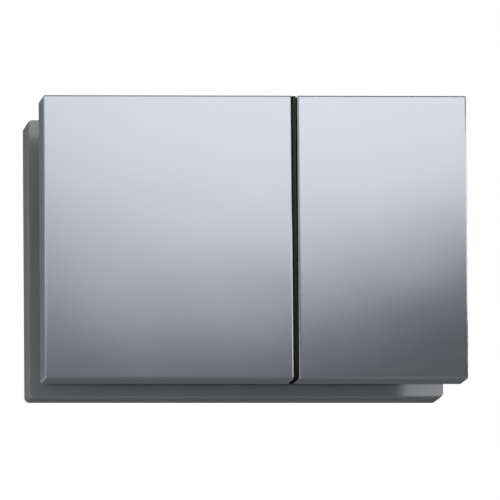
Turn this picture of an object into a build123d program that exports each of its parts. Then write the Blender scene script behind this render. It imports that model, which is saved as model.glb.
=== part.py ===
"""Dual flush button plate for a concealed cistern, in millimetres.

X runs along the wall, +Z is up and the room is at -Y. The origin is the middle of the plate
on the wall face. A name ending in _out is a distance from the wall face towards the room.
"""
import os

from build123d import *

# Plate and buttons
plate_width = 246.0
plate_height = 165.0
corner_radius = 3.0
button_corner_radius = 1.2
full_button_width = 144.4
button_gap = 3.2
gap_corner_radius = 0.5
button_depth = 3.8
face_wall = 2.2
skirt_wall = 2.0
face_edge_radius = 0.8
button_rib = 1.4
button_rib_pitch = 24.0

# Base frame on the wall
frame_depth = 4.2
float_gap = 9.2
front_wall = 2.0
rim_wall = 2.2
frame_edge_radius = 0.9
frame_rib = 1.6
frame_rib_pitch = 30.0
rib_setback = 0.4

# Rocker hinges
hinge_inset = 18.0
hinge_end_inset = 34.5
pin_diameter = 3.0
pin_rise = 4.8
pin_chamfer = 0.3
running_clearance = 0.05
side_clearance = 0.3
ear_width = 7.0
ear_radius = 3.2
ear_root = 11.0
root_bite = 0.5
lug_width = 3.0
lug_radius = 3.4
lug_root = 10.0
heel_offset = 8.0
heel_thickness = 3.0

# Rubber bumpers under the inner corners of the buttons
bumper_inset = 5.0
bumper_end_inset = 13.0
bumper_diameter = 8.0
bumper_height = 1.8
bumper_bevel = 1.2
stem_diameter = 4.0
barb_diameter = 5.2
barb_depth = 1.2
barb_relief = 0.4
landing_diameter = 7.0

# Divider strip between the buttons
strip_clearance = 0.5
strip_recess = 0.4
strip_edge_radius = 0.3
leg_thickness = 1.4
leg_length = 8.0
peg_length = 4.5
peg_catch = 0.6

# Plungers, springs and push rods
half_rod_inset = 10.4
rod_pitch = 70.0
plunger_rise = 7.8
plunger_slack = 0.3
flange_diameter = 13.0
flange_thickness = 2.5
flange_edge = 0.6
shank_diameter = 8.0
shank_tail = 8.0
nose_radius = 1.5
nose_length = 8.0
clip_diameter = 12.0
clip_thickness = 0.8
clip_mouth = 5.4
groove_depth = 0.7
rod_diameter = 5.0
rod_reach = 62.0
rod_grip = 22.0
rod_chamfer = 0.6
lock_nut_size = 8.0
lock_nut_height = 4.0
spring_wire = 0.9
spring_diameter = 10.2
spring_turns = 3.0

# Mounting frame in the wall opening
ring_inset = 20.0
ring_reach = 8.0
ring_corner_radius = 6.0
bar_width = 16.0
bridge_height = 30.0
ring_wall = 2.5
ring_flange = 2.5
ring_rib = 1.8
ring_rib_pitch = 34.0
window_corner_radius = 4.0
sleeve_seat_wall = 2.0

# Guide sleeves of the plungers
plunger_hole = 16.0
cup_wall = 2.0
cup_depth = 5.2
cup_floor = 2.5
sleeve_collar = 24.0
sleeve_collar_depth = 1.2
sleeve_clearance = 0.1
guide_wall = 2.4
guide_length = 15.0

# Snap hooks of the base frame
hook_spacing = 120.0
hook_width = 8.0
hook_thickness = 1.6
hook_catch = 1.2
hook_nose = 2.2
hook_clearance = 0.3

# Fixing studs
spigot_diameter = 6.0
spigot_clearance = 0.3
stud_diameter = 8.0
stud_reach = 27.0
stud_chamfer = 1.0
collar_size = 13.0
collar_height = 4.0
nut_pocket = 17.2
pocket_wall = 2.5
pocket_floor = 4.0
washer_diameter = 15.0
washer_thickness = 1.0
thumb_nut_diameter = 15.0
thumb_nut_height = 3.8
thumb_nut_flutes = 8
flute_diameter = 3.0
spigot_end = 1.0

# Levels in front of the wall
frame_front_out = frame_depth
frame_back_out = frame_depth - front_wall
skirt_out = frame_depth + float_gap
face_out = skirt_out + button_depth
underside_out = face_out - face_wall
pin_out = frame_front_out + pin_rise
plunger_front_out = frame_front_out + plunger_rise
flange_back_out = plunger_front_out - flange_thickness

# Levels behind the front of the mounting frame
ring_back_out = -ring_reach
cup_floor_out = frame_back_out - cup_depth
guide_end_out = cup_floor_out - guide_length
shank_end_out = guide_end_out - shank_tail
pocket_floor_out = ring_back_out + pocket_floor

# Places across the plate
gap_left_x = full_button_width - plate_width / 2
gap_right_x = gap_left_x + button_gap
gap_middle_x = gap_left_x + button_gap / 2
half_button_width = plate_width / 2 - gap_right_x
half_rod_x = gap_right_x + half_rod_inset
full_rod_x = half_rod_x - rod_pitch
hinge_z = plate_height / 2 - hinge_end_inset
bumper_z = plate_height / 2 - bumper_end_inset
ring_width = plate_width - 2 * ring_inset
ring_height = plate_height - 2 * ring_inset
window_width = ring_width - 2 * bar_width
window_top_z = ring_height / 2 - bar_width
stud_x = ring_width / 2 - nut_pocket / 2 - pocket_wall
cup_diameter = plunger_hole + 2 * cup_wall
pin_length = ear_width + 2 * (side_clearance + lug_width)


def slab(outline, from_out, to_out):
    """An outline in the plane of the plate, given thickness between two levels."""
    return extrude(Plane.XZ.offset(from_out) * outline, amount=to_out - from_out)


def rod(x, z, diameter, from_out, to_out):
    """A round bar square to the wall."""
    return slab(Pos(x, z) * Circle(diameter / 2), from_out, to_out)


def front_edges(solid):
    """The outline of the face nearest the room."""
    return solid.faces().sort_by(Axis.Y)[0].edges()


def spread(span, pitch):
    """Even places along a span, about a pitch apart, with none at its ends."""
    count = max(1, round(span / pitch) - 1)
    step = span / (count + 1)
    return [step * (i + 1) - span / 2 for i in range(count)]


def hinge_profile(pin_x, radius, root, root_out):
    """A tapered lug seen from above: round at the pin and wide at its root."""
    foot = Pos(pin_x, -root_out) * Rectangle(root, 2 * root_bite)
    eye = Pos(pin_x, -pin_out) * Circle(radius)
    return make_hull((foot + eye).edges())


def along_z(profile, middle_z, width):
    """A profile seen from above, given a height centred on a level."""
    return extrude(Pos(0, 0, middle_z - width / 2) * profile, amount=width)


def pin_hole(pin_x):
    """The running bore for the hinge pins, right through the plate's height."""
    bore = Pos(pin_x, -pin_out) * Circle(pin_diameter / 2 + running_clearance)
    return along_z(bore, 0, plate_height)


def hinge_x(side):
    return side * (plate_width / 2 - hinge_inset)


def flush_button(side, width, rod_x):
    """A chromed push plate: a thin shell with ribs, hinge ears, rest heels, landings and a nose."""
    middle_x = side * (plate_width - width) / 2
    inner_x = side * (plate_width / 2 - width)
    outline = Pos(middle_x, 0) * Rectangle(width, plate_height)
    corners = outline.vertices().sort_by(Axis.X, reverse=side > 0)
    outline = fillet(corners[:2], button_corner_radius)
    corners = outline.vertices().sort_by(Axis.X, reverse=side > 0)
    outline = fillet(corners[-2:], gap_corner_radius)
    shell = slab(outline, skirt_out, face_out)
    shell = fillet(front_edges(shell), face_edge_radius)

    inside_width = width - 2 * skirt_wall
    inside_height = plate_height - 2 * skirt_wall
    inside = Pos(middle_x, 0) * Rectangle(inside_width, inside_height)
    shell -= slab(inside, skirt_out, underside_out)
    for x in spread(inside_width, button_rib_pitch):
        bar = Pos(middle_x + x, 0) * Rectangle(button_rib, inside_height)
        shell += slab(bar, skirt_out, underside_out)
    for z in spread(inside_height, button_rib_pitch):
        bar = Pos(middle_x, z) * Rectangle(inside_width, button_rib)
        shell += slab(bar, skirt_out, underside_out)

    pin_x = hinge_x(side)
    heel_x = pin_x + side * heel_offset
    heel_height = underside_out - frame_front_out
    heel = Pos(heel_x, -frame_front_out - heel_height / 2) * Rectangle(heel_thickness, heel_height)
    ear = hinge_profile(pin_x, ear_radius, ear_root, underside_out)
    landing_x = inner_x + side * bumper_inset
    for z_side in (-1, 1):
        shell += along_z(ear, z_side * hinge_z, ear_width)
        shell += along_z(heel, z_side * hinge_z, ear_width)
        shell += rod(landing_x, z_side * bumper_z, landing_diameter, skirt_out, underside_out)
    shell -= pin_hole(pin_x)

    nose_out = plunger_front_out + plunger_slack + nose_radius
    stem = Pos(rod_x, -(nose_out + underside_out) / 2) * Rectangle(2 * nose_radius, underside_out - nose_out)
    nose = stem + Pos(rod_x, -nose_out) * Circle(nose_radius)
    return shell + along_z(nose, 0, nose_length)


def base_frame():
    """The grey frame on the wall: a shallow tray with hinge lugs in front and snap hooks behind."""
    tray = slab(RectangleRounded(plate_width, plate_height, corner_radius), 0, frame_front_out)
    tray = fillet(front_edges(tray), frame_edge_radius)
    inside_width = plate_width - 2 * rim_wall
    inside_height = plate_height - 2 * rim_wall
    tray -= slab(Rectangle(inside_width, inside_height), 0, frame_back_out)

    ribs = Sketch()
    for x in spread(inside_width, frame_rib_pitch):
        ribs += Pos(x, 0) * Rectangle(frame_rib, inside_height)
    for z in spread(inside_height, frame_rib_pitch):
        ribs += Pos(0, z) * Rectangle(inside_width, frame_rib)
    ribs -= Rectangle(ring_width + 2 * hook_clearance, ring_height + 2 * hook_clearance)
    tray += slab(ribs, rib_setback, frame_back_out)

    lug_z = (ear_width + lug_width) / 2 + side_clearance
    for side in (-1, 1):
        lug = hinge_profile(hinge_x(side), lug_radius, lug_root, frame_front_out)
        for z in (-hinge_z, hinge_z):
            tray += along_z(lug, z - lug_z, lug_width)
            tray += along_z(lug, z + lug_z, lug_width)
        tray -= pin_hole(hinge_x(side))

    for x in (gap_left_x - bumper_inset, gap_right_x + bumper_inset):
        for z in (-bumper_z, bumper_z):
            tray -= rod(x, z, stem_diameter + 2 * running_clearance, 0, frame_front_out)
            tray -= rod(x, z, barb_diameter + 2 * barb_relief, 0, frame_back_out)
    for z in (-bumper_z, bumper_z):
        tray -= strip_peg(z, peg_length, running_clearance, 0, frame_front_out)
        tray -= strip_peg(z, peg_length + 2 * peg_catch, barb_relief, 0, frame_back_out)
    for x in (full_rod_x, half_rod_x):
        tray -= rod(x, 0, plunger_hole, 0, frame_front_out)
    for x in (-hook_spacing / 2, hook_spacing / 2):
        tray += snap_hook(x) + mirror(snap_hook(x), about=Plane.XY)
    return tray


def strip_peg(z, length, clearance, from_out, to_out):
    """The flat peg under a leg of the divider strip, or with a clearance the slot for it."""
    section = Rectangle(leg_thickness + 2 * clearance, length + 2 * clearance)
    return slab(Pos(gap_middle_x, z) * section, from_out, to_out)


def snap_hook(x):
    """A springy arm under the upper bar of the mounting frame, with a nose behind the bar."""
    arm_top_z = window_top_z - hook_clearance
    arm_foot_z = arm_top_z - hook_thickness
    catch_y = ring_reach + hook_clearance
    tip_y = catch_y + hook_nose
    profile = Polygon(
        (-frame_back_out, arm_foot_z),
        (tip_y, arm_foot_z),
        (tip_y, arm_top_z),
        (catch_y, window_top_z + hook_catch),
        (catch_y, arm_top_z),
        (-frame_back_out, arm_top_z),
        align=None,
    )
    return extrude(Plane.YZ.offset(x - hook_width / 2) * profile, amount=hook_width)


def mounting_frame():
    """The frame in the wall opening: a channelled ring and bridge with seats for sleeves and studs."""
    window_height = window_top_z - bridge_height / 2
    window = RectangleRounded(window_width, window_height, window_corner_radius)
    plan = RectangleRounded(ring_width, ring_height, ring_corner_radius)
    for side in (-1, 1):
        plan -= Pos(0, side * (window_top_z + bridge_height / 2) / 2) * window
    frame = slab(plan, ring_back_out, frame_back_out)
    channel = offset(plan, amount=-ring_wall)
    frame -= slab(channel, ring_back_out, frame_back_out - ring_flange)
    ribs = Sketch()
    for x in spread(ring_width, ring_rib_pitch):
        ribs += Pos(x, 0) * Rectangle(ring_rib, ring_height)
    for z in spread(ring_height, ring_rib_pitch):
        ribs += Pos(0, z) * Rectangle(ring_width, ring_rib)
    frame += slab(ribs & channel, ring_back_out + rib_setback, frame_back_out - ring_flange)

    for x in (-stud_x, stud_x):
        frame += rod(x, 0, nut_pocket + 2 * pocket_wall, ring_back_out, frame_back_out)
        frame -= rod(x, 0, nut_pocket, pocket_floor_out, frame_back_out)
        frame -= rod(x, 0, spigot_diameter + 2 * spigot_clearance, ring_back_out, frame_back_out)
    hole = cup_diameter + 2 * sleeve_clearance
    recess = sleeve_collar + 2 * sleeve_clearance
    for x in (full_rod_x, half_rod_x):
        frame += rod(x, 0, hole + 2 * sleeve_seat_wall, ring_back_out, frame_back_out)
        frame -= rod(x, 0, hole, ring_back_out, frame_back_out)
        frame -= rod(x, 0, recess, frame_back_out - sleeve_collar_depth, frame_back_out)
    return frame


def guide_sleeve(x):
    """A moulded sleeve: a cup for the spring, a collar in the bridge's recess and a guide tube."""
    sleeve = rod(x, 0, cup_diameter, cup_floor_out - cup_floor, frame_back_out)
    sleeve += rod(x, 0, sleeve_collar, frame_back_out - sleeve_collar_depth, frame_back_out)
    sleeve += rod(x, 0, shank_diameter + 2 * guide_wall, guide_end_out, cup_floor_out)
    sleeve -= rod(x, 0, plunger_hole, cup_floor_out, frame_back_out)
    return sleeve - rod(x, 0, shank_diameter + 2 * running_clearance, guide_end_out, frame_back_out)


def hinge_pin(side, z):
    """A steel pin through the lugs of the frame and the ear of a button."""
    section = Pos(hinge_x(side), -pin_out) * Circle(pin_diameter / 2)
    pin = along_z(section, z, pin_length)
    return chamfer(pin.edges().filter_by(GeomType.CIRCLE), pin_chamfer)


def bumper(x, z):
    """A bevelled rubber button, held by its barb behind the front wall of the base frame."""
    head = rod(x, z, bumper_diameter, frame_front_out, frame_front_out + bumper_height)
    head = chamfer(front_edges(head), bumper_bevel)
    stem = rod(x, z, stem_diameter, frame_back_out, frame_front_out)
    return head + stem + rod(x, z, barb_diameter, frame_back_out - barb_depth, frame_back_out)


def divider_strip():
    """A strip that closes the gap between the buttons: a middle foot and two legs with barbed pegs."""
    section = Rectangle(button_gap - 2 * strip_clearance, plate_height)
    strip = slab(Pos(gap_middle_x, 0) * section, skirt_out, face_out - strip_recess)
    strip = fillet(front_edges(strip), strip_edge_radius)
    for z in (-bumper_z, 0, bumper_z):
        strip += slab(Pos(gap_middle_x, z) * Rectangle(leg_thickness, leg_length), frame_front_out, skirt_out)
    for z in (-bumper_z, bumper_z):
        strip += strip_peg(z, peg_length, 0, frame_back_out, frame_front_out)
        strip += strip_peg(z, peg_length + 2 * peg_catch, 0, frame_back_out - barb_depth, frame_back_out)
    return strip


def plunger(x):
    """A moulded plunger: a flange under the button's nose on a hollow, grooved shank."""
    flange = rod(x, 0, flange_diameter, flange_back_out, plunger_front_out)
    flange = chamfer(front_edges(flange), flange_edge)
    body = flange + rod(x, 0, shank_diameter, shank_end_out, flange_back_out)
    groove = Circle(shank_diameter / 2) - Circle(shank_diameter / 2 - groove_depth)
    groove_end_out = guide_end_out - clip_thickness - running_clearance
    body -= slab(Pos(x, 0) * groove, groove_end_out, guide_end_out + running_clearance)
    thread = rod_diameter + 2 * running_clearance
    return body - rod(x, 0, thread, shank_end_out, shank_end_out + rod_grip)


def retaining_clip(x):
    """A spring-steel E-clip in the plunger's groove, against the back end of its guide."""
    neck = shank_diameter / 2 - groove_depth + running_clearance
    mouth = Pos(0, -clip_diameter / 2) * Rectangle(clip_mouth, clip_diameter)
    section = Circle(clip_diameter / 2) - Circle(neck) - mouth
    return slab(Pos(x, 0) * section, guide_end_out - clip_thickness, guide_end_out)


def push_rod(x):
    """A threaded rod in the plunger's tail, which reaches back to the flush valve."""
    bar = rod(x, 0, rod_diameter, -rod_reach, shank_end_out + rod_grip)
    return chamfer(bar.edges().filter_by(GeomType.CIRCLE), rod_chamfer)


def lock_nut(x):
    """A hex nut on the push rod, tight against the plunger's tail."""
    hexagon = RegularPolygon(lock_nut_size / 2, 6, major_radius=False)
    section = hexagon - Circle(rod_diameter / 2 + running_clearance)
    return slab(Pos(x, 0) * section, shank_end_out - lock_nut_height, shank_end_out)


def return_spring(x):
    """A coil spring round the plunger, from its flange to the floor of the cup, with ground ends."""
    length = flange_back_out - cup_floor_out
    pitch = length / spring_turns
    run = length + pitch
    coil = Helix(pitch, run, spring_diameter / 2, center=(0, 0, -pitch / 2))
    section = Plane(coil @ 0, x_dir=(1, 0, 0), z_dir=coil % 0) * RegularPolygon(spring_wire / 2, 6)
    wire = sweep(section, path=coil, is_frenet=True)
    ground = Pos(0, 0, length / 2) * Box(2 * spring_diameter, 2 * spring_diameter, length)
    return Plane.XZ.offset(cup_floor_out) * Pos(x, 0, 0) * (wire & ground)


def fixing_stud(x):
    """A stepped stud: a spigot through the mounting frame, a hex collar and a rear shank."""
    spigot = rod(x, 0, spigot_diameter, ring_back_out, frame_back_out - spigot_end)
    hexagon = RegularPolygon(collar_size / 2, 6, major_radius=False)
    collar = slab(Pos(x, 0) * hexagon, ring_back_out - collar_height, ring_back_out)
    shank = rod(x, 0, stud_diameter, -stud_reach, ring_back_out - collar_height)
    tip = shank.edges().filter_by(GeomType.CIRCLE).sort_by(Axis.Y)[-1]
    return spigot + collar + chamfer(tip, stud_chamfer)


def washer(x):
    section = Circle(washer_diameter / 2) - Circle(spigot_diameter / 2 + spigot_clearance)
    return slab(Pos(x, 0) * section, pocket_floor_out, pocket_floor_out + washer_thickness)


def thumb_nut(x):
    """A fluted nut, turned by hand, on the spigot of a fixing stud."""
    section = Circle(thumb_nut_diameter / 2) - Circle(spigot_diameter / 2 + running_clearance)
    flutes = PolarLocations(thumb_nut_diameter / 2, thumb_nut_flutes)
    section -= flutes * Circle(flute_diameter / 2)
    seat_out = pocket_floor_out + washer_thickness
    return slab(Pos(x, 0) * section, seat_out, seat_out + thumb_nut_height)


pieces = {
    "full_flush_button": flush_button(-1, full_button_width, full_rod_x),
    "half_flush_button": flush_button(1, half_button_width, half_rod_x),
    "base_frame": base_frame(),
    "divider_strip": divider_strip(),
    "mounting_frame": mounting_frame(),
}
for name, side, bumper_x in (
    ("full", -1, gap_left_x - bumper_inset),
    ("half", 1, gap_right_x + bumper_inset),
):
    for level, up in (("upper", 1), ("lower", -1)):
        pieces[f"{name}_{level}_hinge_pin"] = hinge_pin(side, up * hinge_z)
        pieces[f"{name}_{level}_bumper"] = bumper(bumper_x, up * bumper_z)
for name, x in (("full", full_rod_x), ("half", half_rod_x)):
    pieces[f"{name}_guide_sleeve"] = guide_sleeve(x)
    pieces[f"{name}_plunger"] = plunger(x)
    pieces[f"{name}_return_spring"] = return_spring(x)
    pieces[f"{name}_retaining_clip"] = retaining_clip(x)
    pieces[f"{name}_push_rod"] = push_rod(x)
    pieces[f"{name}_lock_nut"] = lock_nut(x)
for name, x in (("left", -stud_x), ("right", stud_x)):
    pieces[f"{name}_fixing_stud"] = fixing_stud(x)
    pieces[f"{name}_washer"] = washer(x)
    pieces[f"{name}_thumb_nut"] = thumb_nut(x)

os.makedirs("parts", exist_ok=True)
for name, piece in pieces.items():
    export_step(piece, f"parts/{name}.step")
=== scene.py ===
"""Looks of a dual flush plate: two chromed rocker buttons over a grey wall frame, with the works behind.

Lengths named _mm are millimetres; the meshes are in metres, X along the wall, +Z up, the room at -Y.
"""
import math

import bmesh
import bpy
from mathutils import Matrix, Vector


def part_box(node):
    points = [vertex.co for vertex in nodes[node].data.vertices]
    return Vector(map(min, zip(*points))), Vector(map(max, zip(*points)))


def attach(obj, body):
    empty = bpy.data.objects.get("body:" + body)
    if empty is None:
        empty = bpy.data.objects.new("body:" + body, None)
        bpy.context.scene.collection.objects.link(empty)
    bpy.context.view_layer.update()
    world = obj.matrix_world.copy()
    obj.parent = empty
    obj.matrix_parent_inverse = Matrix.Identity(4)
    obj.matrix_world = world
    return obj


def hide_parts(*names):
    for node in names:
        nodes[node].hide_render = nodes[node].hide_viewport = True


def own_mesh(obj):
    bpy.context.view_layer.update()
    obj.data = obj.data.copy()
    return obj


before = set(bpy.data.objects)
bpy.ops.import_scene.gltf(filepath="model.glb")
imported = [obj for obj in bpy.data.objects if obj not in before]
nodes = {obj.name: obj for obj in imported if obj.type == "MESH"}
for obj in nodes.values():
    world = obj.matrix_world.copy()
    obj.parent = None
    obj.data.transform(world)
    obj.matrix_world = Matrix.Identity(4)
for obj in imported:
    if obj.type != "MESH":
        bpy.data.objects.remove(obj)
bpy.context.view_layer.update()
scene = bpy.context.scene
mm = 0.001


# Mounting frame: the ring and bridge in the wall opening that everything else is fixed to.
# Injection-moulded grey polypropylene with a fine spark-eroded grain, channelled and ribbed behind.
def linear(code):
    """An sRGB hex colour as linear red, green, blue and alpha."""
    channels = [int(code[i : i + 2], 16) / 255 for i in (1, 3, 5)]
    return [c / 12.92 if c <= 0.04045 else ((c + 0.055) / 1.055) ** 2.4 for c in channels] + [1.0]


def add(owner, kind, sockets=None, **settings):
    """Adds a shader node with its settings; sockets are its inputs, each a value or a linked output."""
    node = owner.node_tree.nodes.new("ShaderNode" + kind)
    for name, value in settings.items():
        setattr(node, name, value)
    for name, value in (sockets or {}).items():
        if isinstance(value, bpy.types.NodeSocket):
            owner.node_tree.links.new(value, node.inputs[name])
        else:
            node.inputs[name].default_value = value
    return node


def start_material(name):
    """A new material, its surface shader and the place on the object that its patterns follow."""
    material = bpy.data.materials.new(name)
    material.use_nodes = True
    shader = material.node_tree.nodes["Principled BSDF"]
    place = add(material, "TexCoord").outputs["Object"]
    return material, shader, place


def moulded(name, dark, light, roughness, grain_mm, mottle_mm):
    """A moulded plastic: the grain of its tool in the bump, and a soft mottle in its colour and gloss."""
    roughness_change = 0.05
    grain_strength = 0.25
    grain_height = 0.02 * mm
    material, shader, place = start_material(name)
    link = material.node_tree.links.new
    mottle = add(material, "TexNoise", {"Vector": place, "Scale": 1 / (mottle_mm * mm), "Detail": 3.0})
    tone = add(material, "Mix", {0: mottle.outputs[0], 6: linear(dark), 7: linear(light)}, data_type="RGBA")
    matt = add(material, "MapRange", {0: mottle.outputs[0], 3: roughness - roughness_change,
                                      4: roughness + roughness_change})
    grain = add(material, "TexNoise", {"Vector": place, "Scale": 1 / (grain_mm * mm), "Detail": 2.0})
    relief = add(material, "Bump", {"Height": grain.outputs[0], "Strength": grain_strength,
                                    "Distance": grain_height})
    link(tone.outputs[2], shader.inputs["Base Color"])
    link(matt.outputs[0], shader.inputs["Roughness"])
    link(relief.outputs[0], shader.inputs["Normal"])
    return material, shader


def finish_node(name, material):
    """Gives a CAD node its one material."""
    nodes[name].data.materials.clear()
    nodes[name].data.materials.append(material)


mounting_pp, _ = moulded("moulded_grey_polypropylene", "#AFB3B6", "#BABEC1",
                         roughness=0.48, grain_mm=0.45, mottle_mm=14)
finish_node("mounting_frame", mounting_pp)


# Guide sleeves: a cup for each spring and a tube that guides the plunger, pressed into the bridge.
# Moulded in darker polypropylene, smooth because the bores are polished.
sleeve_pp, _ = moulded("moulded_dark_polypropylene", "#6A6E70", "#75797B",
                       roughness=0.4, grain_mm=0.6, mottle_mm=9)
for flush in ("full", "half"):
    finish_node(f"{flush}_guide_sleeve", sleeve_pp)


# Plungers: what each button presses; a flange on a hollow shank that slides in its guide sleeve.
# Moulded in natural acetal, off-white and slightly waxy, so a little light goes into it.
plunger_pom, plunger_shader = moulded("moulded_natural_acetal", "#DAD8CE", "#E6E4DB",
                                      roughness=0.34, grain_mm=0.5, mottle_mm=6)
plunger_shader.inputs["Subsurface Weight"].default_value = 0.15
plunger_shader.inputs["Subsurface Scale"].default_value = 1.5 * mm
plunger_shader.inputs["IOR"].default_value = 1.48
for flush in ("full", "half"):
    finish_node(f"{flush}_plunger", plunger_pom)


# Return springs: a coil between the cup's floor and the plunger's flange, which pushes the button out.
# Bright drawn steel wire, wound cold, with both ends ground flat.
def drawn_steel(name, dark, light, roughness, streak_mm, along):
    """A drawn, turned or plated steel: fine marks along one axis in its gloss, and a slight change of tone."""
    roughness_change = 0.08
    streak_stretch = 12
    material, shader, place = start_material(name)
    link = material.node_tree.links.new
    stretch = [1 / (streak_mm * mm)] * 3
    stretch[along] /= streak_stretch
    marks = add(material, "Mapping", {"Vector": place, "Scale": stretch})
    streaks = add(material, "TexNoise", {"Vector": marks.outputs[0], "Scale": 1.0, "Detail": 4.0})
    tone = add(material, "Mix", {0: streaks.outputs[0], 6: linear(dark), 7: linear(light)}, data_type="RGBA")
    matt = add(material, "MapRange", {0: streaks.outputs[0], 3: roughness - roughness_change,
                                      4: roughness + roughness_change})
    link(tone.outputs[2], shader.inputs["Base Color"])
    link(matt.outputs[0], shader.inputs["Roughness"])
    shader.inputs["Metallic"].default_value = 1.0
    return material, shader


def add_piece(name, bm, material, body, replaced):
    """Turns a bmesh into a piece that stands for a CAD node and rides on its body."""
    crease_angle = math.radians(35)
    mesh = bpy.data.meshes.new(name)
    bmesh.ops.recalc_face_normals(bm, faces=bm.faces)
    bm.to_mesh(mesh)
    bm.free()
    mesh.materials.append(material)
    mesh.shade_smooth()
    mesh.set_sharp_from_angle(angle=crease_angle)
    piece = bpy.data.objects.new(name, mesh)
    scene.collection.objects.link(piece)
    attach(piece, body)
    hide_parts(replaced)
    return piece


def cut_square(bm, first, last):
    """Cuts a long shape square at two depths, and closes what the cuts open."""
    snap_distance = 1e-7
    for depth, outwards in ((first, -1), (last, 1)):
        everything = bm.verts[:] + bm.edges[:] + bm.faces[:]
        bmesh.ops.bisect_plane(bm, geom=everything, dist=snap_distance, plane_co=(0, depth, 0),
                               plane_no=(0, outwards, 0), clear_outer=True)
        rim = [edge for edge in bm.edges if edge.is_boundary]
        bmesh.ops.contextual_create(bm, geom=rim)


spring_wire = 0.9 * mm
spring_turns = 3
wire_sides = 12
turn_steps = 40
spring_steel, _ = drawn_steel("bright_drawn_spring_steel", "#A9A9A8", "#C4C4C2",
                              roughness=0.28, streak_mm=0.3, along=1)
for flush in ("full", "half"):
    low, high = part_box(f"{flush}_return_spring")
    middle = (low + high) / 2
    length = high.y - low.y
    pitch = length / spring_turns
    coil_radius = (high.x - low.x - spring_wire) / 2
    wire = bmesh.new()
    across = Matrix.Translation((middle.x + coil_radius, high.y + pitch / 2, 0))
    section = bmesh.ops.create_circle(wire, segments=wire_sides, radius=spring_wire / 2, matrix=across)
    turns = spring_turns + 1
    bmesh.ops.spin(wire, geom=section["verts"] + wire.edges[:], cent=(middle.x, 0, 0), axis=(0, -1, 0),
                   dvec=(0, -pitch / turn_steps, 0), angle=turns * 2 * math.pi, steps=turns * turn_steps)
    cut_square(wire, low.y, high.y)
    spring = add_piece(f"{flush}_spring_coil", wire, spring_steel, "frame",
                       f"{flush}_return_spring")
    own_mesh(spring)


# Retaining clips: spring-steel E-clips in the plungers' grooves, which stop them coming forward.
# Stamped from strip and phosphated nearly black, with a dry, slightly oily surface.
clip_steel, clip_shader = drawn_steel("phosphated_spring_steel", "#3A3B3C", "#4B4C4E",
                                      roughness=0.45, streak_mm=0.6, along=0)
clip_shader.inputs["Metallic"].default_value = 0.6
for flush in ("full", "half"):
    finish_node(f"{flush}_retaining_clip", clip_steel)


# Push rods: threaded rods screwed into the plungers' tails, which reach back to the flush valve.
# Bright zinc-plated steel with a rolled thread and a bevelled tip.
def rolled_thread(bm, x, radius, pitch, first, last, bevel):
    """A right-hand thread along +Y between two depths, with a bevelled tip at its far end."""
    steps = 24
    crest_flat, flank, depth_share = 0.13, 0.31, 0.61
    weld_distance = 1e-6
    end_slack = bevel / 100
    root = radius - depth_share * pitch
    start = first - pitch
    turns = math.ceil((last - first) / pitch) + 2
    shape = ((root, 0), (radius, flank), (radius, flank + crest_flat),
             (root, 2 * flank + crest_flat), (root, 1))
    points = [bm.verts.new((x + r, start + share * pitch, 0)) for r, share in shape]
    edges = [bm.edges.new(pair) for pair in zip(points, points[1:])]
    bmesh.ops.spin(bm, geom=points + edges, cent=(x, 0, 0), axis=(0, 1, 0), dvec=(0, pitch / steps, 0),
                   angle=turns * 2 * math.pi, steps=turns * steps)
    bmesh.ops.remove_doubles(bm, verts=bm.verts, dist=weld_distance)
    cut_square(bm, first, last)
    tip = [face for face in bm.faces if face.calc_center_median().y > last - end_slack]
    bmesh.ops.inset_region(bm, faces=tip, thickness=bevel, depth=0.0)
    for vert in bm.verts:
        out = math.hypot(vert.co.x - x, vert.co.z)
        room = last - max(0.0, out - radius + bevel)
        vert.co.y = min(vert.co.y, room)


zinc_steel, _ = drawn_steel("bright_zinc_plated_steel", "#B4B9BC", "#D2D6D8",
                            roughness=0.26, streak_mm=0.5, along=1)
rod_pitch = 0.8 * mm
rod_bevel = 0.6 * mm
for flush in ("full", "half"):
    low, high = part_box(f"{flush}_push_rod")
    rod = bmesh.new()
    rolled_thread(rod, (low.x + high.x) / 2, (high.x - low.x) / 2, rod_pitch, low.y, high.y, rod_bevel)
    add_piece(f"{flush}_threaded_push_rod", rod, zinc_steel, f"{flush}_plunger_set",
              f"{flush}_push_rod")


# Lock nuts: hex nuts run down the push rods against the plungers' tails, to hold the set length.
# Cold-formed steel with the same bright zinc plating as the rods.
for flush in ("full", "half"):
    finish_node(f"{flush}_lock_nut", zinc_steel)


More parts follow.
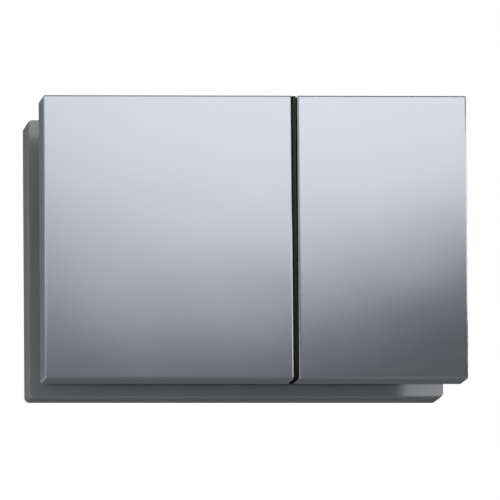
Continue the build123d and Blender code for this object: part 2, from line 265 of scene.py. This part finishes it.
# Fixing studs: a spigot through the mounting frame, a hex collar behind it and a short threaded shank.
# Turned from hex bar, both ends thread-rolled, then zinc plated; they hold the plate to the cistern.
stud_pitch = 1.25 * mm
spigot_pitch = 1.0 * mm
stud_radius = 4.0 * mm
spigot_radius = 3.0 * mm
stud_bevel = 1.0 * mm
collar_front = 8.0 * mm
collar_back = 12.0 * mm
collar_size = 13.0 * mm
collar_bevel = 0.5 * mm
for hand in ("left", "right"):
    low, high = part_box(f"{hand}_fixing_stud")
    x = (low.x + high.x) / 2
    stud = bmesh.new()
    rolled_thread(stud, x, stud_radius, stud_pitch, collar_back, high.y, stud_bevel)
    spigot = bmesh.new()
    rolled_thread(spigot, x, spigot_radius, spigot_pitch, low.y, collar_front, 0.0)
    collar = bmesh.new()
    collar_middle = Matrix.Translation((x, (collar_front + collar_back) / 2, 0))
    turned = collar_middle @ Matrix.Rotation(math.pi / 2, 4, "X")
    bmesh.ops.create_cone(collar, cap_ends=True, segments=6, radius1=collar_size / math.sqrt(3),
                          radius2=collar_size / math.sqrt(3), depth=collar_back - collar_front, matrix=turned)
    ends = [edge for edge in collar.edges if abs(edge.verts[0].co.y - edge.verts[1].co.y) < collar_bevel]
    bmesh.ops.bevel(collar, geom=ends, offset=collar_bevel, segments=2, profile=0.5, affect="EDGES",
                    material=-1)
    for extra in (spigot, collar):
        joined = bpy.data.meshes.new("stud_part")
        extra.to_mesh(joined)
        extra.free()
        stud.from_mesh(joined)
        bpy.data.meshes.remove(joined)
    add_piece(f"{hand}_threaded_stud", stud, zinc_steel, "frame", f"{hand}_fixing_stud")


# Washers and thumb nuts: they clamp the mounting frame on the studs' spigots, in its two pockets.
# Stamped zinc-plated washers under fluted nuts moulded in black nylon.
nut_nylon, _ = moulded("moulded_black_nylon", "#26272A", "#303135",
                       roughness=0.42, grain_mm=0.4, mottle_mm=7)
for hand in ("left", "right"):
    finish_node(f"{hand}_washer", zinc_steel)
    finish_node(f"{hand}_thumb_nut", nut_nylon)


# Base frame: the shallow tray against the wall, with the hinge lugs in front and snap hooks behind.
# Moulded in dark grey ABS with a satin grain that dulls its highlights.
frame_abs, frame_shader = moulded("moulded_satin_grey_abs", "#87898B", "#8F9193",
                                  roughness=0.8, grain_mm=0.35, mottle_mm=25)
frame_shader.inputs["Specular IOR Level"].default_value = 0.05
finish_node("base_frame", frame_abs)


# Bumpers: soft stops under the inner corners of the buttons, pulled through the frame by their barbs.
# Moulded black rubber, matt with a dusty bloom.
bumper_rubber, bumper_shader = moulded("moulded_black_rubber", "#1E1E1F", "#2B2B2C",
                                       roughness=0.75, grain_mm=0.5, mottle_mm=3)
bumper_shader.inputs["Specular IOR Level"].default_value = 0.3
for flush in ("full", "half"):
    for level in ("upper", "lower"):
        finish_node(f"{flush}_{level}_bumper", bumper_rubber)


# Divider strip: closes the gap between the buttons; its barbed legs snap into the base frame.
# Moulded in black ABS, polished; the trace of brown in its colour is a painted reflection of brown
# surroundings seen in the gap between the buttons.
strip_abs, strip_shader = moulded("moulded_polished_black_abs", "#120F0D", "#181411",
                                  roughness=0.12, grain_mm=0.8, mottle_mm=20)
strip_shader.inputs["Specular IOR Level"].default_value = 0.15
finish_node("divider_strip", strip_abs)


# Hinge pins: steel pins through the frame's lugs and the buttons' ears, two for each button.
# Centreless-ground stainless steel with chamfered ends.
pin_steel, _ = drawn_steel("ground_stainless_steel", "#A6A6A4", "#BEBEBB",
                           roughness=0.22, streak_mm=0.2, along=2)
for flush in ("full", "half"):
    for level in ("upper", "lower"):
        finish_node(f"{flush}_{level}_hinge_pin", pin_steel)


# Buttons: the wide full-flush and the narrow half-flush push plates that rock on the hinge pins.
# Thin ABS mouldings, chrome plated to a mirror; the plating follows the faint waves of the moulding,
# and builds up round the front edges, which turns them a little softer than the moulding's own.
chrome_colour = "#DADFE9"
chrome_roughness = 0.07
roughness_change = 0.02
wave_mm = 45
haze_mm = 12
wave_height = 0.12 * mm
edge_softness = 0.9 * mm
soft_depth = 1.6 * mm
soft_fade = 0.3 * mm
soft_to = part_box("full_flush_button")[0].y + soft_depth
chromed_abs, shader, place = start_material("chrome_plated_abs")
link = chromed_abs.node_tree.links.new
haze = add(chromed_abs, "TexNoise", {"Vector": place, "Scale": 1 / (haze_mm * mm), "Detail": 3.0})
matt = add(chromed_abs, "MapRange", {0: haze.outputs[0], 3: chrome_roughness - roughness_change,
                                     4: chrome_roughness + roughness_change})
waves = add(chromed_abs, "TexNoise", {"Vector": place, "Scale": 1 / (wave_mm * mm), "Detail": 0.0})
depth = add(chromed_abs, "SeparateXYZ", {0: place})
front = add(chromed_abs, "MapRange", {0: depth.outputs["Y"], 1: soft_to - soft_fade, 2: soft_to,
                                      3: 1.0, 4: 0.0})
sharp = add(chromed_abs, "NewGeometry")
soft = add(chromed_abs, "Bevel", {"Radius": edge_softness}, samples=8)
turn = add(chromed_abs, "Mix", {0: front.outputs[0], 4: sharp.outputs["Normal"], 5: soft.outputs[0]},
           data_type="VECTOR")
relief = add(chromed_abs, "Bump", {"Height": waves.outputs[0], "Strength": 1.0, "Distance": wave_height,
                                   "Normal": turn.outputs[1]})
shader.inputs["Base Color"].default_value = linear(chrome_colour)
shader.inputs["Metallic"].default_value = 1.0
link(matt.outputs[0], shader.inputs["Roughness"])
link(relief.outputs[0], shader.inputs["Normal"])
for flush in ("full", "half"):
    finish_node(f"{flush}_flush_button", chromed_abs)


# Camera: below the plate and to its left, as a view camera with its film kept parallel to the wall,
# so that the plate stays square while its left and lower sides show.
film_width = 36.0
camera_place = Vector((-0.53014, -0.58416, -0.56362))
film_right = Vector((1, -0.00642, -0.00521)).normalized()
film_up = Vector((0.00007, -0.00828, 1)).normalized()
line_of_sight = Vector((0.9285, 1, 0.98025)).normalized()
film_to_distance = 0.30272
film_axes = Matrix((film_right, film_up, -line_of_sight)).transposed().to_4x4()
camera = bpy.data.objects.new("camera", bpy.data.cameras.new("camera"))
camera_stand = bpy.data.objects.new("camera_stand", None)
scene.collection.objects.link(camera)
scene.collection.objects.link(camera_stand)
camera.data.sensor_width = film_width
camera.data.lens = film_width / film_to_distance
camera.parent = camera_stand
camera.matrix_parent_inverse = Matrix.Translation(camera_place) @ film_axes
scene.camera = camera


# World: an even white studio; it shows white behind the object and in its metal,
# and lights the object at a plain level, a little more from above than from below.
def seen_itself(owner):
    """An output that is 1 for the rays that show a thing itself, and 0 for those it only lights by."""
    ray = add(owner, "LightPath").outputs
    seen = add(owner, "Math", {0: ray["Is Camera Ray"], 1: ray["Is Glossy Ray"]}, operation="MAXIMUM")
    seen = add(owner, "Math", {0: seen.outputs[0], 1: ray["Is Transmission Ray"]}, operation="MAXIMUM")
    return seen.outputs[0]


light_from_below, light_from_above = 0.22, 0.42
white_level = 1.0
scene.view_settings.view_transform = "Standard"
scene.world = bpy.data.worlds.new("white_studio")
scene.world.use_nodes = True
world_link = scene.world.node_tree.links.new
shown = scene.world.node_tree.nodes["Background"]
seen = seen_itself(scene.world)
height = add(scene.world, "SeparateXYZ", {0: add(scene.world, "TexCoord").outputs["Generated"]})
sky = add(scene.world, "MapRange", {0: height.outputs["Z"], 1: -1.0, 2: 1.0,
                                    3: light_from_below, 4: light_from_above})
level = add(scene.world, "Mix", {0: seen, 2: sky.outputs[0], 3: white_level})
world_link(level.outputs[0], shown.inputs["Strength"])
shown.inputs["Color"].default_value = (1, 1, 1, 1)


# Floor: plain and pale, well below the plate; it looks nearly white and keeps the object's shadow.
floor_height = -0.85
floor_size = 30.0
floor_grey = 0.08
floor_white = 0.95
floor_bm = bmesh.new()
bmesh.ops.create_grid(floor_bm, size=floor_size / 2, matrix=Matrix.Translation((0, 0, floor_height)))
floor_mesh = bpy.data.meshes.new("floor")
floor_bm.to_mesh(floor_mesh)
floor_bm.free()
floor = bpy.data.objects.new("floor", floor_mesh)
scene.collection.objects.link(floor)
pale, shader, _ = start_material("pale_floor")
glow = add(pale, "Math", {0: seen_itself(pale), 1: floor_white}, operation="MULTIPLY")
shader.inputs["Base Color"].default_value = (floor_grey, floor_grey, floor_grey, 1)
shader.inputs["Roughness"].default_value = 1.0
shader.inputs["Specular IOR Level"].default_value = 0.0
shader.inputs["Emission Color"].default_value = (1, 1, 1, 1)
pale.node_tree.links.new(glow.outputs[0], shader.inputs["Emission Strength"])
floor_mesh.materials.append(pale)


# Key lamp: a tall soft box high on the right, which lights the frame past the edges of the buttons.
def lamp(name, direction, distance, width, height, energy):
    """A soft box that shines at the plate's middle from one direction."""
    light = bpy.data.lights.new(name, "AREA")
    light.shape = "RECTANGLE"
    light.size = width
    light.size_y = height
    light.energy = energy
    box = bpy.data.objects.new(name, light)
    scene.collection.objects.link(box)
    away = Vector(direction).normalized()
    box.location = away * distance
    box.visible_camera = False
    box.rotation_mode = "QUATERNION"
    box.rotation_quaternion = (-away).to_track_quat("-Z", "Y")
    return box


lamp("key_lamp", direction=(2.8, -1, 1.27), distance=3.5, width=0.35, height=0.6, energy=150)


# Broad lamp: a large weak soft box in the same quarter, nearer the plane of the wall;
# it spreads the key lamp's light further under the buttons, and is kept out of the chrome.
broad = lamp("broad_lamp", direction=(4, -1, 3.6), distance=3.5, width=2.2, height=2.2, energy=70)
broad.visible_glossy = False


# Fill lamp: weak and beside the camera, so that what it leaves dark is out of sight;
# it is kept out of the chrome, which would show it as a spark on the corners.
fill = lamp("fill_lamp", direction=(-1.3, -1, -0.93), distance=1.65, width=0.4, height=0.4, energy=15.2)
fill.visible_glossy = False


# Rear lamp: a large soft box above and behind the plate, which shows the works on its wall side.
rear = lamp("rear_lamp", direction=(0.3, 1, 1.2), distance=2.5, width=0.9, height=0.9, energy=90)
rear.visible_glossy = False


# Reflector cards: graded boards in front, bright at the top and dark at the foot, for the buttons' faces,
# and plain grey boards round them for the edges. Only reflections see them, so they light nothing.
card_half_width = 0.17
card_half_height = 0.13
bend_length = 0.58
twist_length = 0.42
grade_low, grade_high = -0.1337, 0.1013
# Each grade is a share of the way up a board and the grey it has there.
grades = ((0.0, 0.11), (0.085, 0.125), (0.17, 0.145), (0.277, 0.235), (0.383, 0.42), (0.489, 0.6),
          (0.596, 0.78), (0.702, 0.885), (0.83, 0.96), (1.0, 1.02))
graded = bpy.data.materials.new("graded_card")
graded.use_nodes = True
graded.node_tree.nodes.clear()
spot = add(graded, "SeparateXYZ", {0: add(graded, "TexCoord").outputs["Object"]})
twist = add(graded, "Math", {0: spot.outputs["X"], 1: 1 / twist_length, 2: 1.0}, operation="MULTIPLY_ADD")
rise = add(graded, "Math", {0: spot.outputs["Y"], 1: twist.outputs[0]}, operation="MULTIPLY")
bend = add(graded, "Math", {0: spot.outputs["X"], 1: spot.outputs["X"]}, operation="MULTIPLY")
along = add(graded, "Math", {0: bend.outputs[0], 1: -1 / bend_length, 2: rise.outputs[0]},
            operation="MULTIPLY_ADD")
share = add(graded, "MapRange", {0: along.outputs[0], 1: grade_low, 2: grade_high})
ramp = add(graded, "ValToRGB", {0: share.outputs[0]})
stops = ramp.color_ramp.elements
for place_on_card, grey in grades[1:-1]:
    stops.new(place_on_card).color = (grey, grey, grey, 1)
stops[0].color = (grades[0][1],) * 3 + (1,)
stops[len(stops) - 1].color = (grades[-1][1],) * 3 + (1,)
glow = add(graded, "Emission", {"Color": ramp.outputs[0]})
add(graded, "OutputMaterial", {"Surface": glow.outputs[0]})


def plain_card(grey):
    """An evenly grey board's material."""
    material = bpy.data.materials.new("grey_card")
    material.use_nodes = True
    material.node_tree.nodes.clear()
    glow = add(material, "Emission", {"Color": (1, 1, 1, 1), "Strength": grey})
    add(material, "OutputMaterial", {"Surface": glow.outputs[0]})
    return material


def card(name, material, place, right, up, half_width, half_height, scale=1.0):
    """A board in the studio that only reflections see."""
    bm = bmesh.new()
    bmesh.ops.create_grid(bm, size=1.0)
    bmesh.ops.scale(bm, vec=(half_width, half_height, 1), verts=bm.verts)
    mesh = bpy.data.meshes.new(name)
    bm.to_mesh(mesh)
    bm.free()
    mesh.materials.append(material)
    board = bpy.data.objects.new(name, mesh)
    scene.collection.objects.link(board)
    right, up = Vector(right).normalized(), Vector(up).normalized()
    axes = Matrix((right, up, right.cross(up))).transposed().to_4x4()
    board.matrix_world = Matrix.Translation(place) @ axes @ Matrix.Scale(scale, 4)
    board.visible_camera = False
    board.visible_diffuse = False
    board.visible_shadow = False


# The main board stands where the camera sees it mirrored behind the buttons' faces.
face_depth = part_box("full_flush_button")[0].y
reach = 1.0
to_face = face_depth - camera_place.y
mirror_scale = 1 + reach / to_face
mirror_shift = Vector((-camera_place.x, 0, -camera_place.z)) * (reach / to_face)
mirror_place = mirror_shift + Vector((0, face_depth - reach, 0))
main_lean = 0.03
along_x, along_y, along_z = (1, 0, 0), (0, 1, 0), (0, 0, 1)
graded_cards = (
    # name, middle, right, up, scale
    ("main_card", mirror_place, (1, 0, main_lean), (-main_lean, 0, 1), mirror_scale),
    ("front_card", (0, -2.4, -0.12), along_x, along_z, 3.2),
    ("low_card", (-0.75, -0.75, -0.47), (1, -1, 0), along_z, 2.6),
)
for name, middle, right, up, scale in graded_cards:
    card(name, graded, middle, right, up, card_half_width, card_half_height, scale)

# The boards on the right lean with the lines that they darken in the narrow right edges.
front_plane, rear_plane, right_plane = -1.6, 2.0, 1.6
rising = (0, 0.984, 0.177), (0, -0.177, 0.984)
falling = (0, 0.962, -0.273), (0, 0.273, 0.962)
falling_less = (0, 0.98, -0.196), (0, 0.196, 0.98)
plain_cards = (
    # name, grey, middle, right, up, half width, half height
    ("rear_left_card", 0.18, (-1.44, rear_plane, 1.9), along_x, along_z, 0.3, 0.8),
    ("rear_dark_card", 0.05, (-2.05, rear_plane, 2.2), along_x, along_z, 0.3, 0.5),
    ("rear_right_card", 0.114, (0.45, 0.45, -0.5), along_x, along_z, 0.35, 0.25),
    ("foot_card", 0.14, (0.625, -0.9, -0.8), along_x, along_y, 1.575, 1.8),
    ("left_card", 0.2, (-1.2, -0.025, 0.305), along_y, along_z, 1.225, 1.145),
    ("front_fill_card", 0.3, (0, -2.6, 0.18), along_x, along_z, 1.5, 1.02),
    ("front_left_card", 0.26, (-0.45, front_plane, 1.3), along_x, along_z, 0.75, 0.7),
    ("front_low_left_card", 0.26, (0.6, front_plane, 0.9), along_x, along_z, 0.3, 0.3),
    ("front_right_card", 0.16, (1.475, front_plane, 0.125), along_x, along_z, 1.125, 0.925),
    ("top_card", 0.05, (0.5, 0.1, 1.32), along_x, along_y, 1.0, 1.1),
    ("right_card", 0.03, (right_plane, 0.704, 1.418), *rising, 0.9, 0.4),
    ("right_front_card", 0.05, (right_plane, -0.608, 1.551), *falling, 0.546, 0.3),
    ("right_near_card", 0.07, (right_plane, -0.709, 0.646), *falling_less, 0.66, 0.3),
    ("right_low_card", 0.07, (right_plane, 0.41, 0.289), *rising, 1.32, 0.62),
)
for name, grey, middle, right, up, half_width, half_height in plain_cards:
    card(name, plain_card(grey), middle, right, up, half_width, half_height)
